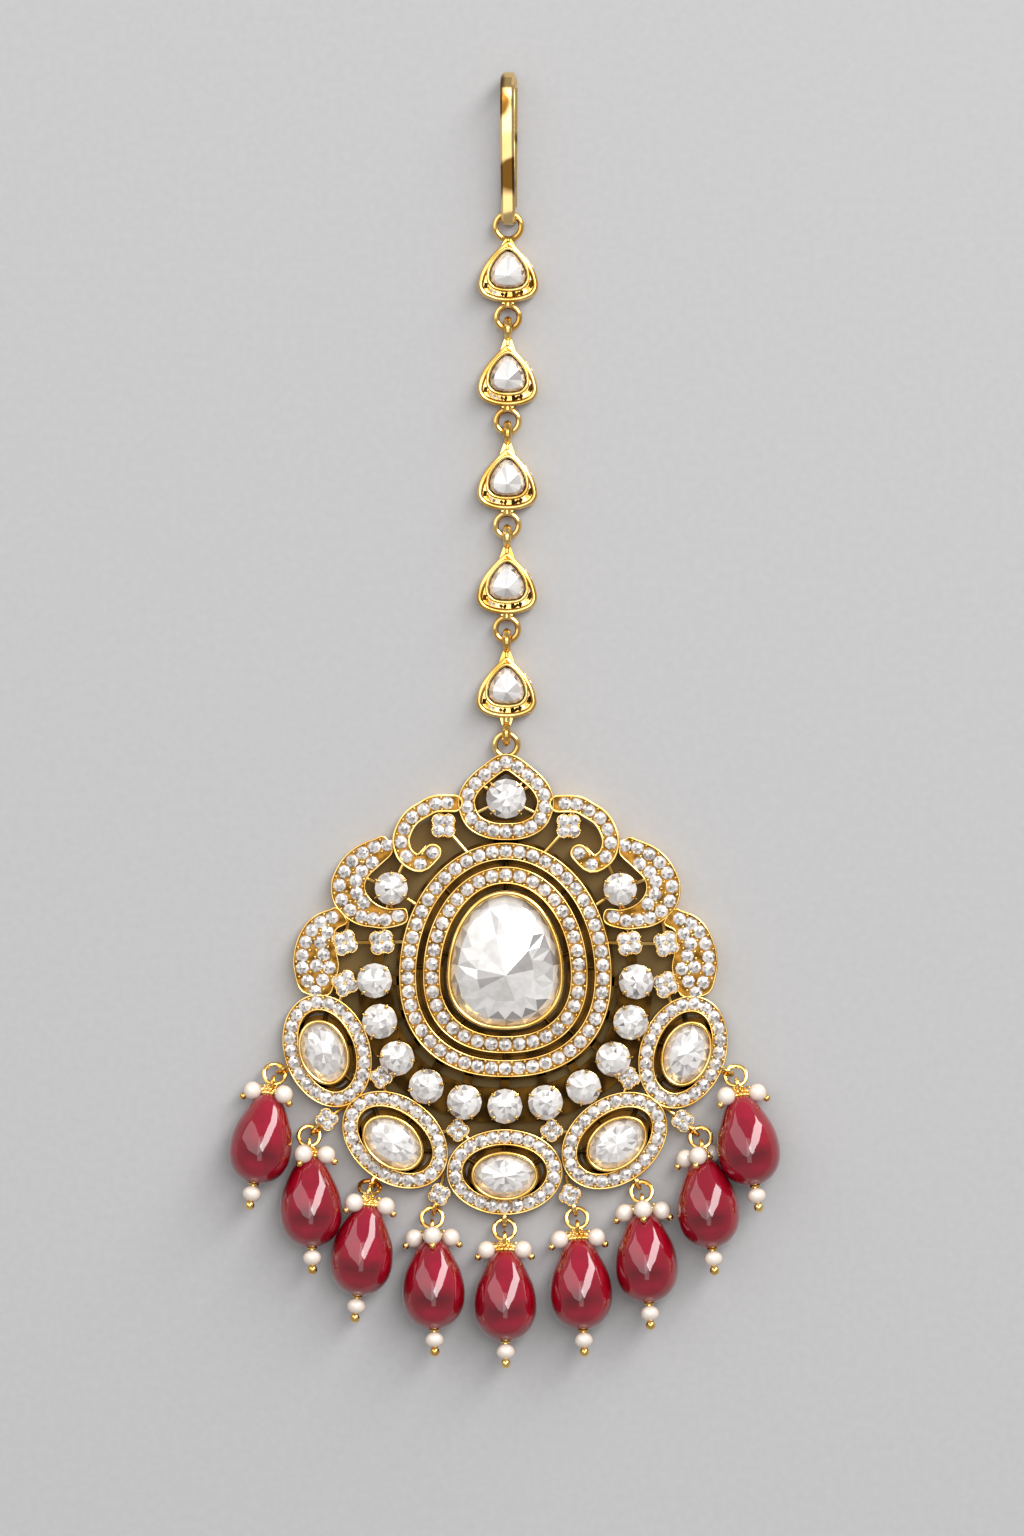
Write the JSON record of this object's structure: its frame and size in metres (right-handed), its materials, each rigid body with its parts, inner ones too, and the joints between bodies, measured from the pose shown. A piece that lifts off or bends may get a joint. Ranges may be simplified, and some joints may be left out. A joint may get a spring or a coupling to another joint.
{
  "type": "maang tikka",
  "caption": "Forehead ornament lying flat: hair hook, chain of stone-set links, pierced medallion set with clear stones, fringe of red teardrop drops.",
  "frame": {"origin": "middle of the medallion's flat back, under the centre stone", "axes": "+X across the medallion, +Y along the chain towards the hook, +Z out of the front"},
  "size_m": [0.0659, 0.1549, 0.0075],
  "materials": {
    "gold_plated_brass": "high polish gold plate",
    "foil_backed_crystal": "polished, foil backed",
    "ruby_red_glass": "polished, translucent"
  },
  "bodies": {
    "root": {"hook": "gold_plated_brass", "chain_setting_1": "gold_plated_brass", "chain_setting_2": "gold_plated_brass", "chain_setting_3": "gold_plated_brass", "chain_setting_4": "gold_plated_brass", "chain_setting_5": "gold_plated_brass", "chain_stone_1": "foil_backed_crystal", "chain_stone_2": "foil_backed_crystal", "chain_stone_3": "foil_backed_crystal", "chain_stone_4": "foil_backed_crystal", "chain_stone_5": "foil_backed_crystal", "medallion_frame": "gold_plated_brass", "centre_stone": "foil_backed_crystal", "top_stone": "foil_backed_crystal", "petal_stone_left": "foil_backed_crystal", "petal_stone_right": "foil_backed_crystal", "round_stone_01": "foil_backed_crystal", "round_stone_02": "foil_backed_crystal", "round_stone_03": "foil_backed_crystal", "round_stone_04": "foil_backed_crystal", "round_stone_05": "foil_backed_crystal", "round_stone_06": "foil_backed_crystal", "round_stone_07": "foil_backed_crystal", "round_stone_08": "foil_backed_crystal", "round_stone_09": "foil_backed_crystal", "round_stone_10": "foil_backed_crystal", "round_stone_11": "foil_backed_crystal", "oval_stone_1": "foil_backed_crystal", "oval_stone_2": "foil_backed_crystal", "oval_stone_3": "foil_backed_crystal", "oval_stone_4": "foil_backed_crystal", "oval_stone_5": "foil_backed_crystal", "drop_ring_1": "gold_plated_brass", "drop_ring_2": "gold_plated_brass", "drop_ring_3": "gold_plated_brass", "drop_ring_4": "gold_plated_brass", "drop_ring_5": "gold_plated_brass", "drop_ring_6": "gold_plated_brass", "drop_ring_7": "gold_plated_brass", "drop_ring_8": "gold_plated_brass", "drop_ring_9": "gold_plated_brass", "drop_pin_1": "gold_plated_brass", "drop_pin_2": "gold_plated_brass", "drop_pin_3": "gold_plated_brass", "drop_pin_4": "gold_plated_brass", "drop_pin_5": "gold_plated_brass", "drop_pin_6": "gold_plated_brass", "drop_pin_7": "gold_plated_brass", "drop_pin_8": "gold_plated_brass", "drop_pin_9": "gold_plated_brass", "drop_bead_1": "ruby_red_glass", "drop_bead_2": "ruby_red_glass", "drop_bead_3": "ruby_red_glass", "drop_bead_4": "ruby_red_glass", "drop_bead_5": "ruby_red_glass", "drop_bead_6": "ruby_red_glass", "drop_bead_7": "ruby_red_glass", "drop_bead_8": "ruby_red_glass", "drop_bead_9": "ruby_red_glass"}
  },
  "joints": []
}
